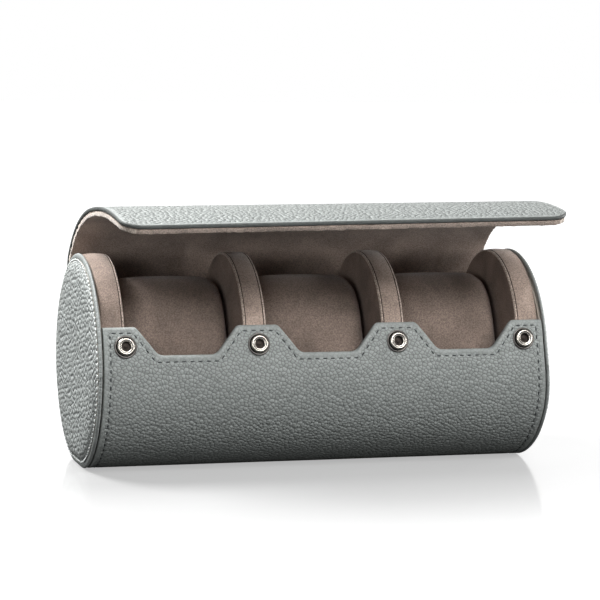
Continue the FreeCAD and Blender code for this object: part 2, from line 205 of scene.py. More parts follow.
def join(name, pieces):
    """Make one piece of several."""
    clear_selection()
    for piece in pieces:
        piece.select_set(True)
    bpy.context.view_layer.objects.active = pieces[0]
    bpy.ops.object.join()
    return added(name)


def place_on(piece, *materials):
    piece.data.materials.clear()
    for material in materials:
        piece.data.materials.append(material)


def step_towards(start, end, share):
    return tuple(a + (b - a) * share for a, b in zip(start, end))


# Shader trees

class Shading:
    """A shader tree with short ways to add to it; an input takes a link, a colour or a value."""

    def __init__(self, tree):
        self.tree, self.nodes = tree, tree.nodes

    def feed(self, socket, value):
        if isinstance(value, bpy.types.NodeSocket):
            self.tree.links.new(value, socket)
        else:
            socket.default_value = (*value, 1.0) if socket.type == "RGBA" else value

    def add(self, kind, *inputs, output=0, **values):
        """Add a node; its inputs in order, or values by the name of an input or setting."""
        node = self.nodes.new("ShaderNode" + kind)
        for name, value in values.items():
            label = name.replace("_", " ")
            if label in node.inputs:
                self.feed(node.inputs[label], value)
            else:
                setattr(node, name, value)
        for socket, value in zip(node.inputs, inputs):
            self.feed(socket, value)
        return node.outputs if output is None else node.outputs[output]

    def maths(self, operation, *inputs, **values):
        return self.add("Math", *inputs, operation=operation, **values)

    def times(self, *inputs, **values):
        return self.maths("MULTIPLY", *inputs, **values)

    def plus(self, *inputs, **values):
        return self.maths("ADD", *inputs, **values)

    def minus(self, *inputs, **values):
        return self.maths("SUBTRACT", *inputs, **values)

    def spot(self):
        """Where a point lies on its own piece."""
        return self.add("TexCoord", output="Object")

    def mix(self, share, first, second, blend="MIX"):
        node = self.nodes.new("ShaderNodeMix")
        node.data_type, node.blend_type = "RGBA", blend
        for index, value in ((0, share), (6, first), (7, second)):
            self.feed(node.inputs[index], value)
        return node.outputs[2]

    def ramp(self, source, stops):
        """A ramp of greys on a value; stops are (place, grey)."""
        node = self.nodes.new("ShaderNodeValToRGB")
        elements = node.color_ramp.elements
        while len(elements) < len(stops):
            elements.new(0.5)
        for element, (place, grey) in zip(elements, stops):
            element.position = place
            element.color = (grey, grey, grey, 1.0)
        self.feed(node.inputs["Fac"], source)
        return node.outputs["Color"]

    def seen_by(self, first, *others):
        """1 for the kinds of ray that are named, 0 for the rest."""
        rays = self.add("LightPath", output=None)
        share = rays[first]
        for name in others:
            share = self.maths("MAXIMUM", share, rays[name])
        return share

    def paint(self, **values):
        """Set inputs of the tree's own shader."""
        shader = self.nodes["Principled BSDF"]
        for name, value in values.items():
            self.feed(shader.inputs[name.replace("_", " ")], value)
        return shader.outputs[0]

    def finish(self, height, depth, strength=1.0, **values):
        """Set inputs of the tree's own shader, and raise its surface by a height."""
        self.paint(Normal=self.add("Bump", Strength=strength, Distance=depth, Height=height), **values)

    def deliver(self, **values):
        """Feed the outputs of a shader group, and return the group."""
        for name, value in values.items():
            self.feed(self.result[name], value)
        return self.tree


def new_group(name, inputs, outputs):
    """An empty shader group; an input without a value takes a place."""
    group = bpy.data.node_groups.new(name, "ShaderNodeTree")
    for label, value in inputs:
        kind = "NodeSocketVector" if value is None else "NodeSocketFloat"
        socket = group.interface.new_socket(label, in_out="INPUT", socket_type=kind)
        if value is not None:
            socket.default_value = value
    for label in outputs:
        group.interface.new_socket(label, in_out="OUTPUT", socket_type="NodeSocketFloat")
    tree = Shading(group)
    tree.given = group.nodes.new("NodeGroupInput").outputs
    tree.result = group.nodes.new("NodeGroupOutput").inputs
    return tree


def make_pebble_group():
    """Leather grain: rounded pebbles of uneven size and tone, parted by creases."""
    tree = new_group("pebble_grain", [("Place", None), ("Cells per metre", 600.0), ("Wander", 0.10)],
                     ["Height", "Crease", "Tone", "Mottle"])
    place, cells, wander = (tree.given[name] for name in ("Place", "Cells per metre", "Wander"))
    drift = tree.add("TexNoise", output="Color", Vector=place, Scale=tree.times(cells, 0.6),
                     Detail=1.0, Roughness=0.5)
    drift = tree.add("VectorMath", drift, (0.5, 0.5, 0.5), operation="SUBTRACT")
    reach = tree.times(tree.maths("DIVIDE", wander, cells), 4.0)
    drift = tree.add("VectorMath", drift, operation="SCALE", Scale=reach)
    moved = tree.add("VectorMath", place, drift, operation="ADD")
    pattern = {"voronoi_dimensions": "2D", "Vector": moved, "Scale": cells, "Randomness": 0.86}
    dome = tree.add("TexVoronoi", feature="SMOOTH_F1", Smoothness=0.22, **pattern)
    edge = tree.add("TexVoronoi", feature="DISTANCE_TO_EDGE", **pattern)
    tone = tree.add("TexVoronoi", output="Color", feature="F1", **pattern)
    fall = tree.maths("POWER", tree.times(dome, 1.45), 2.0)
    fine = tree.add("TexNoise", Vector=moved, Scale=tree.times(cells, 2.5), Detail=2.0, Roughness=0.5)
    # Crease marks the creases; make_leather roughens the leather with it and darkens its colour with it as
    # painted shade.
    opened = tree.minus(1.0, tree.times(edge, 5.0, use_clamp=True), use_clamp=True)
    return tree.deliver(
        Height=tree.plus(tree.minus(1.0, fall, use_clamp=True), tree.times(fine, 0.2)),
        Crease=tree.times(opened, opened), Tone=tree.add("SeparateColor", tone, output="Red"),
        Mottle=tree.add("TexNoise", Vector=place, Scale=42.0, Detail=4.0, Roughness=0.55))


def make_nap_group():
    """Suede: a fine speckle of fibres and the broad marks that a hand leaves in the nap."""
    tree = new_group("suede_nap", [("Fibres per metre", 1700.0)], ["Height", "Speckle", "Brushed"])
    fibres = tree.add("TexNoise", Vector=tree.spot(), Scale=tree.given[0], Detail=3.0, Roughness=0.8)
    contrast = tree.times(tree.minus(fibres, 0.5), 5.6)
    brushed = tree.add("TexNoise", Vector=tree.spot(), Scale=55.0, Detail=3.0, Roughness=0.55, Distortion=0.6)
    return tree.deliver(Height=fibres, Speckle=tree.plus(contrast, 0.5, use_clamp=True), Brushed=brushed)


def make_scuff_group():
    """Fine scratches and smudges on metal."""
    tree = new_group("metal_scuffs", [("Marks per metre", 900.0)], ["Marks"])
    return tree.deliver(Marks=tree.add("TexNoise", Vector=tree.spot(), Scale=tree.given[0], Detail=5.0,
                                       Roughness=0.7, Distortion=1.5))


PEBBLES = make_pebble_group()
NAP = make_nap_group()
SCUFFS = make_scuff_group()


# Finishes

def new_material(name):
    material = bpy.data.materials.new(name)
    material.use_nodes = True
    return material, Shading(material.node_tree)


def toned(colour, share):
    """A colour made darker or lighter by a share."""
    return tuple(min(1.0, part * share) for part in colour)


def make_leather(name, colour, cells, depth, crease_shade_share, gloss, shine, turn=0.0, stretch=(1.1, 1.1),
                 pressed=False):
    """Pebbled leather: creases darkened as painted shade, tones that change from pebble to pebble, uneven
    dye.
    """
    material, tree = new_material(name)
    sheet = tree.add("Attribute", output="Vector", attribute_name="sheet")
    place = tree.add("Mapping", vector_type="TEXTURE", Vector=sheet, Rotation=(0, 0, radians(turn)),
                     Scale=(*stretch, 1.0))
    grain = tree.add("Group", output=None, node_tree=PEBBLES, Place=place, Cells_per_metre=cells)
    tones = tree.plus(tree.times(grain["Mottle"], 0.6), tree.times(grain["Tone"], 0.4))
    dye = tree.mix(tree.ramp(tones, [(0.30, 0.0), (0.70, 1.0)]), toned(colour, 0.90), toned(colour, 1.10))
    crease, height = grain["Crease"], grain["Height"]
    if pressed:
        relief = tree.add("Attribute", output="Fac", attribute_name="relief")
        crease, height = tree.times(crease, relief), tree.times(height, relief)
    # Painted shade: the creases darken the dye towards about a third of it.
    crease = tree.times(crease, crease_shade_share, use_clamp=True)
    tree.finish(height, depth, Base_Color=tree.mix(crease, dye, toned(colour, 0.36)),
                Roughness=tree.plus(tree.times(crease, 0.3), gloss), Specular_IOR_Level=shine)
    return material


def make_suede(name, colour, light_share=1.25, dark_share=0.72, sheen=0.25):
    """Brushed suede with a fine fibre speckle, hand marks and a soft sheen."""
    material, tree = new_material(name)
    nap = tree.add("Group", output=None, node_tree=NAP)
    speckled = tree.mix(nap["Speckle"], toned(colour, dark_share), toned(colour, light_share))
    marks = tree.ramp(nap["Brushed"], [(0.35, 0.78), (0.62, 1.12)])
    tree.finish(nap["Height"], 0.0003, 0.7, Base_Color=tree.mix(1.0, speckled, marks, "MULTIPLY"),
                Roughness=0.95, Specular_IOR_Level=0.15, Sheen_Weight=sheen, Sheen_Roughness=0.45)
    return material


def make_metal(name, colour, low, high):
    """Plated metal with fine scuffs."""
    material, tree = new_material(name)
    marks = tree.add("Group", node_tree=SCUFFS)
    tree.finish(marks, 0.00003, Metallic=1.0, Base_Color=tree.mix(marks, colour, toned(colour, 0.8)),
                Roughness=tree.plus(tree.times(marks, high - low), low))
    return material


def make_thread(name, colour):
    """Twisted sewing thread."""
    material, tree = new_material(name)
    twist = tree.add("TexWave", output="Fac", bands_direction="DIAGONAL", Vector=tree.spot(), Scale=900.0,
                     Distortion=1.0)
    tree.finish(twist, 0.0001, Base_Color=tree.mix(twist, colour, toned(colour, 1.6)), Roughness=0.7)
    return material


def make_filling(name, colour, scale, depth):
    """Foam or grey board, which lie inside and never show."""
    material, tree = new_material(name)
    grit = tree.add("TexNoise", Vector=tree.spot(), Scale=scale, Detail=4.0, Roughness=0.7)
    tree.finish(grit, depth, Base_Color=tree.mix(grit, colour, toned(colour, 1.3)), Roughness=0.9)
    return material


LEATHER = make_leather("grey_green_leather", (0.257, 0.274, 0.265), 650.0, 0.00024, 0.92, 0.48, 0.12, 27.0,
                       (1.14, 0.94), True)
FLAP_LEATHER = make_leather("flap_leather", (0.234, 0.249, 0.241), 620.0, 0.00080, 1.0, 0.40, 0.30,
                            pressed=True)
# Painted light: the caps' leather is the wrap's leather painted lighter, standing in for the light on the
# roll's ends.
CAP_LEATHER_PAINTED_LIGHT = make_leather("cap_leather_painted_light", (0.388, 0.410, 0.400), 600.0, 0.00078, 1.0, 0.36, 0.26, 12.0,
                           (0.66, 1.25))
EDGE_LEATHER = make_leather("turned_edge_leather", (0.235, 0.250, 0.244), 1100.0, 0.00012, 0.15, 0.40, 0.24)
FLAP_EDGE = make_leather("flap_edge_leather", (0.086, 0.092, 0.089), 1100.0, 0.00010, 0.15, 0.40, 0.12)
SUEDE = make_suede("taupe_suede", (0.252, 0.194, 0.162))
# Painted light: the bands are the taupe suede painted lighter, standing in for light that the flap keeps off
# them.
BAND_SUEDE_PAINTED_LIGHT = make_suede("band_suede_painted_light", (0.330, 0.257, 0.215))
# Painted light: the lining is the taupe suede painted lighter, standing in for light that does not reach
# under the flap.
LINING_SUEDE_PAINTED_LIGHT = make_suede("lining_suede_painted_light", (0.370, 0.288, 0.242))
SIDE_SUEDE = make_suede("shaded_suede", (0.250, 0.188, 0.155), 1.2, 0.75, 0.10)
SUEDE_EDGE = make_suede("cut_suede_edge", (0.235, 0.192, 0.165), 1.4, 0.65, 0.2)
# Painted highlight: the flap's side-facing cut edges are a lighter copy of the front cut edge.
SIDE_EDGE_PAINTED_LIGHT = make_suede("cut_suede_side_painted_light", (0.43, 0.370, 0.320), 1.45, 0.62, 0.4)
BAND_EDGE = make_suede("cut_band_edge", (0.40, 0.325, 0.275), 1.6, 0.50, 0.3)
SEAM_SUEDE = make_suede("sewn_seam", (0.085, 0.062, 0.052), 1.3, 0.8, 0.05)
NICKEL = make_metal("polished_nickel", (0.43, 0.405, 0.365), 0.16, 0.34)
# Painted shade: a darkened copy of the nickel, put on stud bases, grooves, low walls and the sockets'
# insides.
SHADED_NICKEL = make_metal("shaded_nickel", (0.085, 0.080, 0.075), 0.22, 0.40)
# Painted shade: the stud's hollow is painted near black, standing in for the shade inside it.
STUD_HOLE_PAINTED_SHADE = make_metal("stud_hole_painted_shade", (0.030, 0.025, 0.022), 0.45, 0.65)
THREAD = make_thread("dark_thread", (0.020, 0.023, 0.024))
CAP_THREAD = make_thread("grey_thread", (0.52, 0.54, 0.53))
FOAM = make_filling("foam", (0.50, 0.47, 0.43), 700.0, 0.0003)
BOARD = make_filling("grey_board", (0.38, 0.34, 0.29), 400.0, 0.0002)


# Wrap: one sheet, worked out flat and rolled round the case

BASE_TURN = 30.0 * MM
FLAT_HALF = sqrt(BASE_HALF ** 2 - 2 * BASE_TURN * (ROLL_RADIUS - AXIS_HEIGHT))
LOW_ANGLE = degrees(atan2(AXIS_HEIGHT - BASE_TURN, FLAT_HALF))
FRONT_LENGTH = ROLL_RADIUS * radians(LOW_ANGLE)
TURN_LENGTH = BASE_TURN * radians(90 - LOW_ANGLE)
BACK_START = FRONT_LENGTH + 2 * TURN_LENGTH + 2 * FLAT_HALF
WRAP_FINISH = BACK_START + ROLL_RADIUS * radians(180 + LOW_ANGLE - WRAP_BACK_ANGLE)


def rolled(x, along, height):
    """From the flat sheet to the roll: along starts level at the front and runs down and round."""
    if along < FRONT_LENGTH:
        return (x, *polar(ROLL_RADIUS + height, -degrees(along / ROLL_RADIUS)))
    if along > BACK_START:
        angle = 180 + LOW_ANGLE - degrees((along - BACK_START) / ROLL_RADIUS)
        return (x, *polar(ROLL_RADIUS + height, angle))
    middle = (FRONT_LENGTH + BACK_START) / 2
    off = along - middle
    if abs(off) < FLAT_HALF:
        return (x, off, -height)
    turn = copysign((abs(off) - FLAT_HALF) / BASE_TURN, off)
    reach = BASE_TURN + height
    return (x, copysign(FLAT_HALF, off) + reach * sin(turn), BASE_TURN - reach * cos(turn))


def flat_height(angle):
    """How far along the flat sheet a height on the front lies."""
    return -ROLL_RADIUS * radians(angle)


TAB_TOP = flat_height(TAB_ANGLE)
VALLEY = flat_height(VALLEY_ANGLE)
SLOPE = 9.4 * MM
SCALLOPS = [(-84.0 * MM, -40.0 * MM), (-22.0 * MM, 22.0 * MM), (40.0 * MM, 84.0 * MM)]


def scallop_corners():
    """Corners (x, along, radius) of the front edge from left to right."""
    corners = [(-WRAP_END, TAB_TOP, 0.0)]
    for left, right in SCALLOPS:
        corners += [(left, TAB_TOP, 2.2 * MM), (left + SLOPE, VALLEY, 5.0 * MM),
                    (right - SLOPE, VALLEY, 5.0 * MM), (right, TAB_TOP, 2.2 * MM)]
    return corners + [(WRAP_END, TAB_TOP, 0.0)]


def rounded_line(corners, pieces=6):
    """The corners joined by straight lines and arcs, as points."""
    points = [corners[0][:2]]
    for before, corner, after in zip(corners, corners[1:], corners[2:]):
        centre = Vector(corner[:2])
        back = (Vector(before[:2]) - centre).normalized()
        ahead = (Vector(after[:2]) - centre).normalized()
        half = back.angle(ahead) / 2
        reach = corner[2] / tan(half)
        start, end = centre + back * reach, centre + ahead * reach
        for index in range(pieces + 1):
            share = index / pieces
            spot = start * (1 - share) ** 2 + centre * 2 * share * (1 - share) + end * share ** 2
            points.append((spot.x, spot.y))
    return points + [corners[-1][:2]]


FRONT_EDGE = rounded_line(scallop_corners())


def edge_at(x):
    """Where the front edge lies at x."""
    for (x0, a0), (x1, a1) in zip(FRONT_EDGE, FRONT_EDGE[1:]):
        if x <= x1:
            return a0 + (a1 - a0) * (x - x0) / max(x1 - x0, 1e-9)
    return FRONT_EDGE[-1][1]


STITCH_INSET = 2.9 * MM
STITCH_SUNK = 0.27 * MM
SEAM_DEPTH = 0.30 * MM
SEAM_WIDTH = 0.75 * MM
END_TURN = 0.5 * MM


def stitch_line():
    """The sewn line along the ends and the scalloped edge, a steady distance inside."""
    rise = VALLEY - TAB_TOP
    shift = STITCH_INSET * (hypot(SLOPE, rise) - SLOPE) / rise
    end, finish = WRAP_END - STITCH_INSET, WRAP_FINISH - 1.0 * MM
    top, low = TAB_TOP + STITCH_INSET, VALLEY + STITCH_INSET
    points = [(-end, finish), (-end, top)]
    for left, right in SCALLOPS:
        points += [(left - shift, top), (left + SLOPE - shift, low),
                   (right - SLOPE + shift, low), (right + shift, top)]
    return points + [(end, top), (end, finish)]


STITCHES = stitch_line()


def distance_to_line(x, along, line):
    best = 1.0
    for (x0, a0), (x1, a1) in zip(line, line[1:]):
        dx, da = x1 - x0, a1 - a0
        share = ((x - x0) * dx + (along - a0) * da) / (dx * dx + da * da)
        share = within(share)
        best = min(best, hypot(x - x0 - share * dx, along - a0 - share * da))
    return best


def spread(start, end, pitch):
    """Evenly spaced values from start to end."""
    count = max(1, round(abs(end - start) / pitch))
    return [start + (end - start) * index / count for index in range(count + 1)]


def wrap_columns():
    """Places across the sheet: close together at its ends and at the scallops' corners."""
    half = [0.0]
    for reach, pitch in ((10, 2.0), (43, 0.9), (46.5, 1.75), (88, 0.9), (93.4, 1.8), (97.2, 0.55)):
        half += spread(half[-1], reach * MM, pitch * MM)[1:]
    half += [place * MM for place in (97.7, 97.9, 98.05, 98.15)] + [WRAP_END]
    return [-value for value in reversed(half[1:])] + half


WRAP_REACH = WRAP_FINISH - TAB_TOP
EDGE_ZONE = 7 * MM


def wrap_rows():
    """Rows (distance from the front edge, height, inside) round the sheet's edge."""
    outer = 1.5 * MM
    inner = 0.9 * MM
    away = spread(WRAP_REACH, 40 * MM, 3.0 * MM) + spread(40 * MM, EDGE_ZONE, 1.6 * MM)[1:]
    away += spread(EDGE_ZONE, outer, 0.5 * MM)[1:]
    rows = [(distance, 0.0, False) for distance in away]
    for index in range(1, 6):
        turn = radians(18 * index)
        rows.append((outer - outer * sin(turn), -outer + outer * cos(turn), False))
    for index in range(5):
        turn = radians(22.5 * index)
        rows.append((inner - inner * cos(turn), -WALL + inner - inner * sin(turn), False))
    back = spread(inner, EDGE_ZONE, 1.6 * MM)[1:] + spread(EDGE_ZONE, WRAP_REACH, 3.0 * MM)[1:]
    return rows + [(distance, -WALL, True) for distance in back]


def make_wrap():
    """The leather, the board and the lining of the tube as one sheet, leather outside, suede inside."""
    columns = wrap_columns()
    rows = wrap_rows()
    piece, cells = grid("wrap", columns, rows)
    rank = [row for _, row in cells]
    marks, places = [], []
    for vertex, (column, row) in zip(piece.data.vertices, cells):
        x = columns[column]
        distance, height, inside = rows[row]
        edge = edge_at(x)
        along = edge + distance
        if distance > EDGE_ZONE:
            share = (distance - EDGE_ZONE) / (WRAP_REACH - EDGE_ZONE)
            along = edge + EDGE_ZONE + share * (WRAP_FINISH - edge - EDGE_ZONE)
        if not inside and height > -0.5 * MM:
            sewn = distance_to_line(x, along, STITCHES)
            height -= SEAM_DEPTH * exp(-(sewn / SEAM_WIDTH) ** 2)
        end = WRAP_END - abs(x)
        if end < END_TURN and height > -WALL / 2:
            height -= END_TURN - sqrt(max(0.0, END_TURN ** 2 - (END_TURN - end) ** 2))
        vertex.co = rolled(x, along, height)
        places.append((x, along + height))
        away = min(distance, end * 1.6) / STITCH_INSET
        marks.append(min(1.0, max(0.38, (away - 0.5) / 0.6)))
    press_edges(piece, marks)
    lay_grain(piece, places)
    select_edges(piece, lambda one, two: rank[one] == rank[two] and rank[one] in (0, len(rows) - 1))
    edit(piece, "EDGE")
    bpy.ops.mesh.bridge_edge_loops()
    close_up(piece)
    place_on(piece, LEATHER, SUEDE)
    for face in piece.data.polygons:
        if depth_inside(face.center) > 3.6 * MM and abs(face.center.x) < WRAP_END - 0.2 * MM:
            face.material_index = 1
    give_way(piece)
    smooth(piece, 50)
    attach(piece, "case")
    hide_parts("outer_wrap", "wrap_board", "body_lining")


def depth_inside(spot):
    """How deep a point lies under the outside of the roll."""
    return ROLL_RADIUS - hypot(spot.y, spot.z - AXIS_HEIGHT)


def press_edges(piece, marks):
    """Keep on each point how much of the pebble relief and of the painted crease shade it shows: less along
    turned and sewn edges.
    """
    relief = piece.data.attributes.new("relief", "FLOAT", "POINT")
    relief.data.foreach_set("value", marks)


def stitch_template(length, width, height):
    """One stitch as a small rounded bar lying along X."""
    bpy.ops.mesh.primitive_uv_sphere_add(segments=8, ring_count=6, radius=1)
    piece = bpy.context.object
    piece.scale = (length / 2, width / 2, height)
    settle(piece)
    points = [vertex.co.copy() for vertex in piece.data.vertices]
    faces = [list(face.vertices) for face in piece.data.polygons]
    bpy.data.objects.remove(piece)
    return points, faces


def walk(line, pitch):
    """Places and directions at a steady pitch along a line, evened out on each stretch."""
    places = []
    for start, end in zip(line, line[1:]):
        way = Vector(end) - Vector(start)
        count = max(1, round(way.length / pitch))
        for index in range(count):
            places.append((Vector(start) + way * (index + 0.5) / count, way.normalized()))
    return places


def sew(name, frames, template, material):
    """Copy one stitch to every frame (origin, way, up) along a seam."""
    points, faces = template
    vertices, polygons = [], []
    for origin, way, up in frames:
        first = len(vertices)
        side = up.cross(way)
        vertices += [origin + way * point.x + side * point.y + up * point.z for point in points]
        polygons += [[first + index for index in face] for face in faces]
    mesh = bpy.data.meshes.new(name)
    mesh.from_pydata(vertices, [], polygons)
    piece = new_object(name, mesh)
    place_on(piece, material)
    smooth(piece, 80)
    return piece


def wrap_frame(spot, way):
    """A stitch's frame on the rolled sheet, sunk a little into the leather."""
    origin = Vector(rolled(*spot, -STITCH_SUNK))
    ahead = Vector(rolled(*(spot + way * 0.1 * MM), -STITCH_SUNK))
    up = (Vector(rolled(*spot, 0.0)) - origin).normalized()
    return origin, (ahead - origin).normalized(), up


def make_wrap_stitching():
    template = stitch_template(2.1 * MM, 0.62 * MM, 0.34 * MM)
    frames = [wrap_frame(spot, way) for spot, way in walk(STITCHES, 3.6 * MM)]
    piece = sew("wrap_stitching", frames, template, THREAD)
    give_way(piece)
    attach(piece, "case")


make_wrap()
make_wrap_stitching()


# Pieces that are built up ring by ring from one outline across the roll

def drum_outline(count=160):
    """The roll's own section about its axis, from the top down the front and round."""
    start = -ROLL_RADIUS * pi / 2
    end = BACK_START + ROLL_RADIUS * (radians(LOW_ANGLE) + pi / 2)
    section = [rolled(0, start + (end - start) * index / count, 0.0) for index in range(count)]
    return [(y, z - AXIS_HEIGHT) for _, y, z in section]


def extrude_rings(piece, steps, way, centre):
    """Lift the ring that a piece is through steps (place, scale) along a way."""
    edit(piece, "EDGE", True)
    for (place_now, scale_now), (place, scale) in zip(steps, steps[1:]):
        lift = tuple(way * (place - place_now))
        bpy.ops.mesh.extrude_region_move(TRANSFORM_OT_translate={"value": lift})
        factor = scale / scale_now
        bpy.ops.transform.resize(value=[1 if part else factor for part in way],
                                 center_override=tuple(centre + way * place))


def ring_stack(name, outline, centre, steps, closed=False):
    """Lift an outline into rings (x, scale); the two ends are filled, or joined to each other."""
    x, scale = steps[0]
    bpy.ops.mesh.primitive_circle_add(vertices=len(outline), radius=1, fill_type="NOTHING")
    piece = added(name)
    for vertex, (y, z) in zip(piece.data.vertices, outline):
        vertex.co = (x, centre[0] + y * scale, centre[1] + z * scale)
    extrude_rings(piece, steps, Vector((1, 0, 0)), Vector((0, *centre)))
    close_up(piece, closed)
    return piece


def turned(name, profile, count=48):
    """A round piece turned on the lathe from a profile of (radius, height), in millimetres."""
    steps = [(height * MM, radius * MM) for radius, height in profile]
    foot, radius = steps[0]
    bpy.ops.mesh.primitive_circle_add(vertices=count, radius=radius, fill_type="NOTHING",
                                      location=(0, 0, foot))
    piece = added(name)
    settle(piece)
    extrude_rings(piece, steps, Vector((0, 0, 1)), Vector((0, 0, 0)))
    close_up(piece)
    return piece


# Dividers: suede all round, with the sewn edges of a band on the open side

DIVIDER_RADIUS = 42.9 * MM
DIVIDER_REACH = 44.0
BAND_CUT = 1.08 * MM

def circle_through(first, middle, last):
    """Centre and radius of the circle through three points."""
    (ax, ay), (bx, by), (cx, cy) = first, middle, last
    area = 2 * (ax * (by - cy) + bx * (cy - ay) + cx * (ay - by))
    a2, b2, c2 = ax * ax + ay * ay, bx * bx + by * by, cx * cx + cy * cy
    centre = ((a2 * (by - cy) + b2 * (cy - ay) + c2 * (ay - by)) / area,
              (a2 * (cx - bx) + b2 * (ax - cx) + c2 * (bx - ax)) / area)
    return centre, dist(first, centre)


def arc_points(centre, radius, start, end, count):
    """Points on an arc, without the last one."""
    points = []
    for index in range(count):
        angle = start + (end - start) * index / count
        points.append((centre[0] + radius * cos(angle), centre[1] + radius * sin(angle)))
    return points


def divider_outline():
    """The divider's section about the roll's axis, from the front shoulder over the top."""
    def about(radius, angle):
        y, z = polar(radius, angle)
        return (y, z - AXIS_HEIGHT)
    front, top, back = about(41.6 * MM, 18), about(46.9 * MM, 87), about(42.2 * MM, 143)
    centre, radius = circle_through(front, top, back)
    start = atan2(front[1] - centre[1], front[0] - centre[0])
    end = atan2(back[1] - centre[1], back[0] - centre[0])
    points = arc_points(centre, radius, start, end, 72)
    floor = 4.1 * MM - AXIS_HEIGHT
    low = asin(floor / DIVIDER_RADIUS)
    points += arc_points((0, 0), DIVIDER_RADIUS, atan2(back[1], back[0]), low, 40)
    half = DIVIDER_RADIUS * cos(low)
    points += [(half - 2 * half * index / 10, floor) for index in range(10)]
    return points + arc_points((0, 0), DIVIDER_RADIUS, -pi - low, -pi - radians(16), 32)


def mirrored_rings(rings, x_start, width):
    """Rings (millimetres from a side face, scale) on both sides of a piece."""
    left = [(x_start + distance * MM, scale) for distance, scale in rings]
    right = [(x_start + width - distance * MM, scale) for distance, scale in reversed(rings)]
    return left + right


def make_divider(name, x_start, band, plain=0):
    """A divider; the side that plain names (-1 or 1) lies against a cap and has no seam."""
    sunk = [(0.30, 40.48), (0.24, 28.6), (0.12, 16.72), (0.0, 7.04), (-0.05, 2.6), (0.02, 1.4),
            (0.18, 0.7), (0.45, 0.25), (0.80, 0.02), (1.05, 0.05), (1.15, 0.45), (1.38, 0.45),
            (1.48, 0.02), (2.0, -0.10), (3.4, -0.24), (5.2, -0.30)]
    rings = [(distance, 1 - depth / DIVIDER_REACH) for distance, depth in sunk]
    steps = mirrored_rings(rings, x_start, DIVIDER_WIDTH)
    hidden = x_start + DIVIDER_WIDTH * (plain + 1) / 2
    if plain:
        steps = [(x, 1.0 if abs(abs(x - hidden) - 1.25 * MM) < 0.25 * MM else scale) for x, scale in steps]
    piece = ring_stack(name, divider_outline(), (0, AXIS_HEIGHT), steps)
    place_on(piece, band, SEAM_SUEDE, BAND_EDGE, SIDE_SUEDE)
    for face in piece.data.polygons:
        side = min(face.center.x - x_start, x_start + DIVIDER_WIDTH - face.center.x)
        if face.center.z < AXIS_HEIGHT / 2 or plain and abs(face.center.x - hidden) < 1.5 * MM:
            continue
        if BAND_CUT < side < 1.45 * MM:
            face.material_index = 1
        elif 0.0 < side < BAND_CUT and abs(face.normal.x) < 0.93:
            face.material_index = 2
        elif side < BAND_CUT:
            face.material_index = 3
    smooth(piece, 60)
    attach(piece, "case")
    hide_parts(name + "_core", name + "_panels", name + "_band")


def make_dividers():
    half = DIVIDER_WIDTH / 2
    make_divider("left_end_divider", -WRAP_END, SUEDE, -1)
    # The inner dividers' bands take the lighter copy of the suede (painted light); the left end divider keeps
    # the plain suede.
    make_divider("left_divider", -DIVIDER_PITCH / 2 - half, BAND_SUEDE_PAINTED_LIGHT)
    make_divider("right_divider", DIVIDER_PITCH / 2 - half, BAND_SUEDE_PAINTED_LIGHT)
    make_divider("right_end_divider", WRAP_END - DIVIDER_WIDTH, BAND_SUEDE_PAINTED_LIGHT, 1)


make_dividers()


# Pillows: foam in suede, plumped by a pressure simulation

PILLOW_MIDDLE = (2.5 * MM, 43.4 * MM)
PILLOW_DEPTH = 27.5 * MM
PILLOW_HEIGHT = 39.1 * MM
PILLOW_CROWN = 22.0 * MM
PILLOW_INSET = 1.3 * MM
COVER = {"use_pressure": True, "uniform_pressure_force": 4.0, "mass": 0.05, "tension_stiffness": 12.0,
         "compression_stiffness": 12.0, "bending_stiffness": 0.4}
SIMULATED_FRAMES = 20


def pillow_outline(shrink):
    """An oval of four tangent arcs about the pillow's middle."""
    depth, height, crown = PILLOW_DEPTH - shrink, PILLOW_HEIGHT - shrink, PILLOW_CROWN - shrink
    rise = height - crown
    flank = (depth ** 2 + rise ** 2 - crown ** 2) / (2 * (depth - crown))
    lean = atan2(rise, flank - depth)
    points = arc_points((0, rise), crown, pi - lean, lean, 24)
    points += arc_points((depth - flank, 0), flank, lean, -lean, 24)
    points += arc_points((0, -rise), crown, -lean, lean - pi, 24)
    points += arc_points((flank - depth, 0), flank, pi + lean, pi - lean, 24)
    return points


def plump(piece, voxel, limit):
    """Blow a closed shape up like a stuffed cover, and keep each point within a limit."""
    modify(piece, "REMESH", mode="VOXEL", voxel_size=voxel)
    rest = [vertex.co.copy() for vertex in piece.data.vertices]
    pick(piece)
    cloth = piece.modifiers.new("cloth", "CLOTH")
    for name, value in COVER.items():
        setattr(cloth.settings, name, value)
    cloth.settings.effector_weights.gravity = 0.0
    cloth.point_cache.frame_start = 1
    cloth.point_cache.frame_end = SIMULATED_FRAMES
    scene = bpy.context.scene
    for frame_number in range(1, SIMULATED_FRAMES + 1):
        scene.frame_set(frame_number)
    bpy.ops.object.modifier_apply(modifier=cloth.name)
    scene.frame_set(1)
    for vertex, start in zip(piece.data.vertices, rest):
        move = vertex.co - start
        if move.length > limit:
            vertex.co = start + move.normalized() * limit
    modify(piece, "SMOOTH", factor=0.5, iterations=4)
    modify(piece, "SUBSURF", levels=1, render_levels=1)


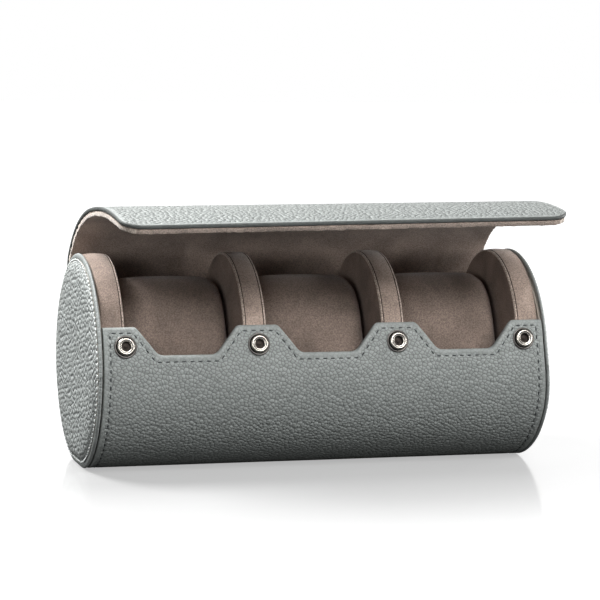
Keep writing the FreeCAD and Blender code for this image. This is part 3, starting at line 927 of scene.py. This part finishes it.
def make_pillow(name, left, right):
    width = right - left - 2 * PILLOW_INSET
    rings = [(0.0, 0.05), (0.0, 0.5), (0.0, 0.80), (0.3, 0.875), (1.1, 0.93), (2.4, 0.965), (4.4, 0.987),
             (7.5, 0.998), (13.0, 1.005), (20.0, 1.010)]
    steps = mirrored_rings(rings, left + PILLOW_INSET, width)
    piece = ring_stack(name, pillow_outline(1.0 * MM), PILLOW_MIDDLE, steps)
    plump(piece, 3.0 * MM, 1.6 * MM)
    gap = 0.3 * MM
    for vertex in piece.data.vertices:
        vertex.co.x = min(max(vertex.co.x, left + gap), right - gap)
        vertex.co.z = max(vertex.co.z, WALL + gap)
    place_on(piece, SUEDE)
    smooth(piece, 80)
    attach(piece, name)
    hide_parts(name + "_cover", name + "_core")


def make_pillows():
    end_face = WRAP_END - DIVIDER_WIDTH
    outer_face = DIVIDER_PITCH / 2 + DIVIDER_WIDTH / 2
    middle_face = DIVIDER_PITCH / 2 - DIVIDER_WIDTH / 2
    make_pillow("left_pillow", -end_face, -outer_face)
    make_pillow("middle_pillow", -middle_face, middle_face)
    make_pillow("right_pillow", outer_face, end_face)


make_pillows()


# End caps: a padded leather disc sewn into a rolled rim

SEAM_RADIUS = 44.35
SEAM_HEIGHT = 2.45


def cap_steps(side, rings):
    """Rings (distance outside the wrap, radius), in millimetres, as places along the roll."""
    return [(side * (WRAP_END + distance * MM), radius * MM / ROLL_RADIUS) for distance, radius in rings]


def lumps(piece, side):
    """Uneven padding under the leather of a cap."""
    for vertex in piece.data.vertices:
        away = hypot(vertex.co.y, vertex.co.z - AXIS_HEIGHT)
        share = max(0.0, 1 - (away / (42.0 * MM)) ** 6)
        bump = noise.noise(Vector((vertex.co.y, vertex.co.z, side)) * 95) * 0.30 * MM
        if side * vertex.co.x > WRAP_END + 3.0 * MM:
            vertex.co.x += side * bump * share


def make_cap(name, side):
    """One end of the roll: its padded face, its rim and the stitches of the seam between them."""
    rings = [(1.8, 20.0), (1.8, 43.6), (1.95, 43.95), (2.2, 43.98), (2.5, 43.75), (2.8, 43.35), (3.1, 42.85),
             (3.4, 42.2), (3.7, 41.3), (3.95, 40.0), (4.14, 38.2), (4.28, 35.5), (4.36, 32.5), (4.42, 29.0),
             (4.47, 25.5), (4.51, 22.0), (4.54, 18.5), (4.56, 15.0), (4.57, 11.5), (4.58, 8.0), (4.58, 4.5),
             (4.58, 1.5)]
    outline = drum_outline()
    face = ring_stack(name + "_leather", outline, (0, AXIS_HEIGHT), cap_steps(side, rings))
    lumps(face, side)
    lay_grain(face, [cap_place(vertex.co, side) for vertex in face.data.vertices])
    # The cap face takes the lighter copy of the leather: painted light.
    place_on(face, CAP_LEATHER_PAINTED_LIGHT)
    give_way(face)
    smooth(face, 60)
    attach(face, "case")
    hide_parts(name + "_face")
    section = [(0.65, 44.9), (0.62, 46.0), (0.70, 46.6), (0.92, 46.98), (1.22, 47.1), (1.52, 47.0),
               (1.8, 46.7), (2.0, 46.25), (2.1, 45.7), (2.08, 45.15), (1.95, 44.7), (1.7, 44.5),
               (1.35, 44.45), (1.0, 44.55)]
    rim = ring_stack(name + "_rim", outline, (0, AXIS_HEIGHT), cap_steps(side, section), closed=True)
    lay_grain(rim, [rim_place(vertex.co) for vertex in rim.data.vertices])
    place_on(rim, EDGE_LEATHER)
    give_way(rim)
    smooth(rim, 60)
    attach(rim, "case")
    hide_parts(name + "_welt")
    template = stitch_template(1.8 * MM, 0.8 * MM, 0.45 * MM)
    stitches = sew(name + "_stitching", cap_frames(side, 2.5 * MM), template, CAP_THREAD)
    give_way(stitches)
    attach(stitches, "case")


def cap_place(spot, side):
    """Where a point of a cap lies on its round of leather, with the turned edge laid flat."""
    y, z = spot.y, spot.z - AXIS_HEIGHT
    turned_down = WRAP_END + 4.6 * MM - abs(spot.x)
    share = 1 + 0.8 * turned_down / max(hypot(y, z), 5 * MM)
    return (y * side * share, z * share)


def rim_place(spot):
    """Where a point of a rim lies on its strip of leather: round the rim, and across it."""
    y, z = spot.y, spot.z - AXIS_HEIGHT
    return (atan2(z, y) * ROLL_RADIUS, abs(spot.x) + hypot(y, z))


def cap_frames(side, pitch):
    """Frames of the stitches in the seam of a cap."""
    scale = SEAM_RADIUS * MM / ROLL_RADIUS
    x = side * (WRAP_END + SEAM_HEIGHT * MM)
    outline = [Vector((x, y * scale, AXIS_HEIGHT + z * scale)) for y, z in drum_outline()]
    outline.append(outline[0])
    total = sum((end - start).length for start, end in zip(outline, outline[1:]))
    count = round(total / pitch)
    frames, covered, wanted = [], 0.0, 0.0
    for start, end in zip(outline, outline[1:]):
        length = (end - start).length
        while wanted < covered + length and len(frames) < count:
            way = (end - start).normalized()
            spot = start + way * (wanted - covered)
            out = Vector((0, spot.y, spot.z - AXIS_HEIGHT)).normalized()
            frames.append((spot, way, (Vector((side, 0, 0)) * 0.75 + out * 0.66).normalized()))
            wanted += total / count
        covered += length
    return frames


make_cap("left_cap", -1)
make_cap("right_cap", 1)


# Snap studs and sockets, turned on the lathe and set on their axes

HOLE_RADIUS = 1.97 * MM
GROOVE = (2.5 * MM, 2.87 * MM)
GROOVE_FLOOR = 1.6 * MM


def set_on(piece, origin, up):
    """Stand a turned piece on a point, with its axis along up."""
    piece.matrix_world = Matrix.Translation(origin) @ up.to_track_quat("Z", "Y").to_matrix().to_4x4()
    settle(piece)


def make_studs():
    """Four studs, each a domed head with a hollow on a flatter base."""
    base = [(1.6, -1.2), (4.7, -1.2), (4.85, -0.15), (4.92, 0.12), (4.86, 0.36), (4.62, 0.52), (4.3, 0.50),
            (4.05, 0.36), (3.85, 0.18), (3.72, 0.10), (3.0, 0.10)]
    head = [(3.70, 0.12), (3.78, 0.60), (3.80, 1.10), (3.72, 1.50), (3.50, 1.78), (3.15, 1.90), (2.90, 1.84),
            (2.75, 1.70), (2.60, 1.70), (2.48, 1.82), (2.25, 1.80), (2.05, 1.62), (1.95, 1.36), (1.90, 1.0),
            (1.85, 0.3), (1.2, 0.20), (0.75, 0.30), (0.7, 0.75), (0.5, 0.85), (0.2, 0.86)]
    pieces = []
    turn = radians(STUD_ANGLE)
    up = Vector((0, -cos(turn), sin(turn)))
    for x in STUD_PLACES:
        foot = Vector((x, *polar(ROLL_RADIUS, STUD_ANGLE)))
        # The base is turned in the shaded copy of the nickel: painted shade.
        for profile, material in ((base, SHADED_NICKEL), (head, NICKEL)):
            part = turned("stud", profile)
            place_on(part, material, SHADED_NICKEL, STUD_HOLE_PAINTED_SHADE)
            for face in part.data.polygons:
                away, height = face.center.xy.length, face.center.z
                # The hollow takes the near-black metal: painted shade.
                if away < HOLE_RADIUS and height < GROOVE_FLOOR:
                    face.material_index = 2
                # The groove in the head and its low side walls take the shaded nickel: painted shade.
                elif GROOVE[0] < away < GROOVE[1] and height > GROOVE_FLOOR:
                    face.material_index = 1
                elif away > 3.3 * MM and height < 1.3 * MM:
                    face.material_index = 1
            set_on(part, foot, up)
            pieces.append(part)
    piece = join("snap_stud_heads", pieces)
    smooth(piece, 50)
    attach(piece, "case")
    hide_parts("snap_studs")


make_studs()


# Flap: a leather and a suede sheet on one curve, parted into strips that each lie over one fold

FOLDS = [(37.239, 66.666), (32.419, 81.298), (17.805, 97.529), (-1.824, 107.103), (-23.333, 110.895),
         (-45.143, 112.038), (-66.900, 110.135)]
FLAP_START = tuple(value / MM for value in polar(INNER_RADIUS, WRAP_BACK_ANGLE))
FLAP_FRONT = (-78.3, 107.5)
FLAP_HALF = 97.4 * MM
STRIP_HALF = 97.9 * MM
FLAP_CORNER = 10.0 * MM
LEATHER_INSIDE = 2.3 * MM
LINING_OUTSIDE = 2.05 * MM
FLAP_OUTSIDE = 4.0 * MM
FRAY_SEED = 7


def midway(first, second):
    return ((first[0] + second[0]) / 2, (first[1] + second[1]) / 2)


MIDDLES = [midway(first, second) for first, second in zip(FOLDS, FOLDS[1:] + [FLAP_FRONT])]


def flap_curve():
    """Points (y, z) along the lining from the hinge to the front edge, with their outward ways."""
    stations = []
    for index, (start, fold, end) in enumerate(zip([FLAP_START] + MIDDLES, FOLDS, MIDDLES)):
        count = 10 if index in (0, 6) else 18
        for number in range(count):
            share = number / count
            first, second = step_towards(start, fold, share), step_towards(fold, end, share)
            way = (second[0] - first[0], second[1] - first[1])
            stations.append((*step_towards(first, second, share), *way))
    last = MIDDLES[-1]
    way = (FLAP_FRONT[0] - last[0], FLAP_FRONT[1] - last[1])
    for number in range(7):
        stations.append((*step_towards(last, FLAP_FRONT, number / 6), *way))
    result = []
    for y, z, way_y, way_z in stations:
        length = hypot(way_y, way_z)
        result.append(((y * MM, z * MM), (way_z / length, -way_y / length)))
    return result


CURVE = flap_curve()


def flap_lengths():
    """The distance of each station of the curve from the hinge end."""
    lengths = [0.0]
    for (first, _), (second, _) in zip(CURVE, CURVE[1:]):
        lengths.append(lengths[-1] + dist(first, second))
    return lengths


LENGTHS = flap_lengths()


def on_flap(x, along, height):
    """A point of the flap from its flat pattern: along runs from the hinge end to the front."""
    along = min(max(along, 0.0), LENGTHS[-1])
    index = min(bisect_right(LENGTHS, along) - 1, len(CURVE) - 2)
    share = (along - LENGTHS[index]) / (LENGTHS[index + 1] - LENGTHS[index])
    (spot, up), (next_spot, next_up) = CURVE[index], CURVE[index + 1]
    y, z = step_towards(spot, next_spot, share)
    up_y, up_z = step_towards(up, next_up, share)
    return Vector((x, y + up_y * height, z + up_z * height))


def settled(x, along):
    """How the soft flap has settled: it leans to the left, and its right side stands a little high."""
    end = LENGTHS[-1]
    lean = eased(within((along - 10 * MM) / (18 * MM))) * (1.8 - 1.45 * along / end) * MM
    lift = (0.95 + 1.30 * x / FLAP_HALF) * (along / end) ** 1.5 * MM
    return Vector((-lean, 0, lift))


def flap_sheet(name, outside, thickness, inset, *materials):
    """A sheet of the flap with rounded front corners, its upper side at a height above the lining."""
    columns = spread(-1.0, 1.0, 1 / 100)
    piece, cells = grid(name, columns, CURVE)
    end = LENGTHS[-1]
    places, marks = [], []
    for vertex, (column, row) in zip(piece.data.vertices, cells):
        along = LENGTHS[row] * (1 - inset / end)
        widen = eased(within((along - 9 * MM) / (16 * MM)))
        half = STRIP_HALF + (FLAP_HALF - STRIP_HALF) * widen - inset
        x = columns[column] * half
        over_x = abs(x) - (half - FLAP_CORNER)
        over_along = along - (end - inset - FLAP_CORNER)
        if over_x > 0 and over_along > 0:
            pull = max(over_x, over_along) / hypot(over_x, over_along)
            x = copysign(half - FLAP_CORNER + over_x * pull, x)
            along = end - inset - FLAP_CORNER + over_along * pull
        vertex.co = on_flap(x, along, outside) + settled(x, along)
        places.append((x, along))
        inside = min(half - abs(x), end - inset - along)
        marks.append(min(1.0, max(0.05, (inside - 1.3 * MM) / (1.2 * MM))))
    lay_grain(piece, places)
    press_edges(piece, marks)
    edit(piece, "FACE", True)
    bpy.ops.mesh.normals_make_consistent(inside=False)
    leave()
    if sum(face.normal.z * face.area for face in piece.data.polygons) < 0:
        edit(piece, "FACE", True)
        bpy.ops.mesh.flip_normals()
        leave()
    count = len(piece.data.vertices)
    place_on(piece, *materials)
    modify(piece, "SOLIDIFY", thickness=thickness, offset=-1.0, use_even_offset=True, use_rim=True,
           material_offset_rim=1)
    sheet = piece.data.attributes["sheet"].data
    wider, longer = 1 + thickness / FLAP_HALF, 1 + thickness / end
    for index in range(count, len(piece.data.vertices)):
        place = sheet[index].vector
        sheet[index].vector = (place[0] * wider, place[1] * longer, 0.0)
    return piece


def cut_between(piece, name, lower, upper):
    """A copy of the part of a sheet between two planes (point, way), closed at its cuts."""
    pick(piece)
    bpy.ops.object.duplicate()
    strip = added(name)
    for plane, clear_inner, clear_outer in ((lower, True, False), (upper, False, True)):
        if plane is None:
            continue
        edit(strip, "FACE", True)
        bpy.ops.mesh.bisect(plane_co=plane[0], plane_no=plane[1], use_fill=True,
                            clear_inner=clear_inner, clear_outer=clear_outer)
        leave()
    return strip


def fold_plane(index):
    """The plane across the middle of a flat, where two strips meet."""
    first = FOLDS[index]
    second = FOLDS[index + 1] if index + 1 < len(FOLDS) else FLAP_FRONT
    way = Vector((0, second[0] - first[0], second[1] - first[1])).normalized()
    spot = Vector((0, MIDDLES[index][0] * MM, MIDDLES[index][1] * MM))
    return spot, way


def part_into_strips(sheet, label, slot, *layers):
    """Cut a sheet of the flap at the middle of each flat into strips, one over each fold."""
    for index in range(7):
        lower = fold_plane(index - 1) if index > 0 else None
        upper = fold_plane(index) if index < 6 else None
        strip = cut_between(sheet, f"{label}_{index}", lower, upper)
        smooth(strip, 50)
        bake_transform(strip)
        hidden = [f"flap_{index}_{layer}" for layer in layers] if index else ["flap_strip_" + layers[0]]
        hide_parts(*hidden)
    bpy.data.objects.remove(sheet)


def make_flap_leather():
    sheet = flap_sheet("flap_sheet", FLAP_OUTSIDE, FLAP_OUTSIDE - LEATHER_INSIDE, 0.0,
                       FLAP_LEATHER, FLAP_EDGE)
    modify(sheet, "BEVEL", width=0.55 * MM, segments=3, limit_method="ANGLE", angle_limit=radians(50),
           material=1)
    part_into_strips(sheet, "flap_cover", "leather", "leather", "board")


def socket_frame(x):
    """Where a socket sits on the lining, and its way out of it."""
    middle, way = fold_plane(5)
    nearest = min(range(len(CURVE)), key=lambda index: (Vector((0, *CURVE[index][0])) - middle).length)
    lift = max(settled(x, LENGTHS[nearest]).z, 0.1 * MM)
    return Vector((x, middle.y, middle.z + lift)), Vector((0, way.z, -way.y))


def fray(sheet):
    """Roughen the cut edge of the suede, in the same way each time."""
    noise.seed_set(FRAY_SEED)
    rim = set()
    for face in sheet.data.polygons:
        if face.material_index == 1:
            rim.update(face.vertices)
    for index in rim:
        vertex = sheet.data.vertices[index]
        vertex.co += noise.noise_vector(vertex.co * 520) * 0.36 * MM


def make_flap_lining():
    # The lining takes the lighter copy of the suede: painted light.
    sheet = flap_sheet("lining_sheet", LINING_OUTSIDE, LINING_OUTSIDE, 0.35 * MM,
                       LINING_SUEDE_PAINTED_LIGHT, SUEDE_EDGE, SIDE_EDGE_PAINTED_LIGHT)
    modify(sheet, "BEVEL", width=0.35 * MM, segments=2, limit_method="ANGLE", angle_limit=radians(50))
    fray(sheet)
    # Cut edges that face sideways take the lighter copy: painted highlight.
    for face in sheet.data.polygons:
        if face.material_index == 1 and abs(face.normal.x) > 0.5:
            face.material_index = 2
    for x in STUD_PLACES:
        spot, up = socket_frame(x)
        bpy.ops.mesh.primitive_cylinder_add(vertices=32, radius=5.2 * MM, depth=8 * MM)
        cutter = added("cutter")
        set_on(cutter, spot, up)
        modify(sheet, "BOOLEAN", operation="DIFFERENCE", object=cutter, solver="EXACT")
        bpy.data.objects.remove(cutter)
    part_into_strips(sheet, "flap_suede", "suede", "lining")


def make_sockets():
    profile = [(4.3, 2.12), (5.25, 1.9), (5.3, 0.58), (5.22, 0.40), (5.0, 0.34), (4.5, 0.34), (4.2, 0.40),
               (4.04, 0.56), (3.99, 0.8), (3.99, 1.86), (3.4, 2.0), (0.6, 2.0)]
    pieces = []
    for x in STUD_PLACES:
        part = turned("socket", profile)
        place_on(part, NICKEL, SHADED_NICKEL)
        for face in part.data.polygons:
            # The socket's inside takes the shaded nickel: painted shade.
            if face.center.xy.length < 3.99 * MM:
                face.material_index = 1
        spot, up = socket_frame(x)
        set_on(part, spot, up)
        pieces.append(part)
    piece = join("snap_socket_cups", pieces)
    smooth(piece, 50)
    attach(piece, "flap_flat_5")
    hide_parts("snap_sockets", "socket_backs")


make_flap_leather()
make_flap_lining()
make_sockets()


# The inner pieces that keep their own shape

for node, material in (("left_cap_board", BOARD), ("right_cap_board", BOARD), ("left_cap_padding", FOAM),
                       ("right_cap_padding", FOAM), ("stud_backs", SHADED_NICKEL)):
    place_on(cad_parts[node], material)


# Table, light and camera

def away_from_roll(tree):
    """How far, in metres, a point of the table lies from the line under the roll."""
    spot = tree.add("SeparateXYZ", tree.spot(), output=None)
    beyond = tree.maths("MAXIMUM", tree.minus(tree.maths("ABSOLUTE", spot["X"]), 0.09), 0.0)
    across = tree.maths("POWER", tree.maths("ABSOLUTE", spot["Y"]), 2.0)
    return tree.maths("SQRT", tree.plus(tree.maths("POWER", beyond, 2.0), across))


def make_table():
    """A pale glowing table that mirrors the roll close by and throws little light on it."""
    bpy.ops.mesh.primitive_plane_add(size=6, location=(0, 1.0, 0))
    piece = added("table")
    settle(piece)
    material, tree = new_material("pale_table")
    plain = tree.paint(Base_Color=(0.22, 0.22, 0.22), Roughness=0.6)
    away = away_from_roll(tree)
    paler = tree.times(tree.minus(away, 0.15, use_clamp=True), 1.2, use_clamp=True)
    glow = tree.add("Emission", Color=(1.0, 1.0, 1.0), Strength=tree.plus(tree.times(paler, 0.27), 0.755))
    mirrored = tree.ramp(tree.times(away, 5.0), [(0.25, 0.43), (0.30, 0.41), (0.40, 0.35), (0.50, 0.30),
                                                 (0.60, 0.27), (0.70, 0.25), (0.80, 0.22), (0.92, 0.16),
                                                 (1.0, 0.04)])
    shiny = tree.add("MixShader", mirrored, tree.add("AddShader", plain, glow),
                     tree.add("BsdfGlossy", Roughness=0.12))
    dull = tree.add("BsdfDiffuse", Color=(0.05, 0.05, 0.05))
    seen = tree.seen_by("Is Camera Ray", "Is Transmission Ray")
    surface = tree.nodes["Material Output"].inputs["Surface"]
    tree.feed(surface, tree.add("MixShader", seen, dull, shiny))
    place_on(piece, material)


def make_world():
    """A white room, bright to the camera and to shiny leather, and dim for the rest."""
    world = bpy.data.worlds.new("studio")
    bpy.context.scene.world = world
    world.use_nodes = True
    tree = Shading(world.node_tree)
    background = tree.nodes["Background"].inputs
    seen = tree.seen_by("Is Camera Ray", "Is Glossy Ray", "Is Transmission Ray")
    tree.feed(background["Color"], (1.0, 1.0, 1.0))
    tree.feed(background["Strength"], tree.plus(tree.times(seen, 0.93), 0.07))


def add_softbox(name, place, target, size, power):
    light = bpy.data.lights.new(name, "AREA")
    light.shape = "RECTANGLE"
    light.size, light.size_y = size
    light.energy = power
    piece = new_object(name, light)
    piece.location = place
    way = Vector(target) - Vector(place)
    piece.rotation_euler = way.to_track_quat("-Z", "Y").to_euler()


def make_camera():
    """The camera that was fitted to the photo, aimed at a point above the table's middle."""
    azimuth, elevation, roll, distance = radians(-16.19), radians(6.51), radians(0.924), 1.153
    target = Vector((0, 0, 0.07045))
    away = Vector((sin(azimuth) * cos(elevation), -cos(azimuth) * cos(elevation),
                   sin(elevation)))
    ahead = -away
    right = ahead.cross(Vector((0, 0, 1))).normalized()
    up = right.cross(ahead)
    right, up = right * cos(roll) + up * sin(roll), up * cos(roll) - right * sin(roll)
    camera = bpy.data.cameras.new("camera")
    camera.lens = 155.64
    camera.sensor_width = 36.0
    camera.clip_start = 0.05
    piece = new_object("camera", camera)
    turn = Matrix((right, up, away)).transposed().to_4x4()
    piece.matrix_world = Matrix.Translation(target + away * distance) @ turn
    bpy.context.scene.camera = piece


make_table()
make_world()
add_softbox("front", (0.20, -0.95, 0.82), (0, 0, 0.05), (0.7, 0.5), 16.0)
add_softbox("low_left", (-0.70, -0.92, 0.22), (0, 0, 0.09), (0.5, 0.22), 2.6)
add_softbox("low_right", (0.95, -0.75, 0.22), (0, 0, 0.09), (0.5, 0.22), 3.8)
add_softbox("under_flap", (0.33, 0.0, 0.105), (0.05, 0.03, 0.105), (0.14, 0.08), 0.45)
add_softbox("left", (-0.30, 0.09, 0.46), (-0.08, 0, 0.06), (0.20, 0.20), 5.9)
add_softbox("top", (0.0, 0.40, 0.95), (0, 0, 0.10), (0.8, 0.6), 0.6)
make_camera()
bpy.context.scene.view_settings.view_transform = "Standard"
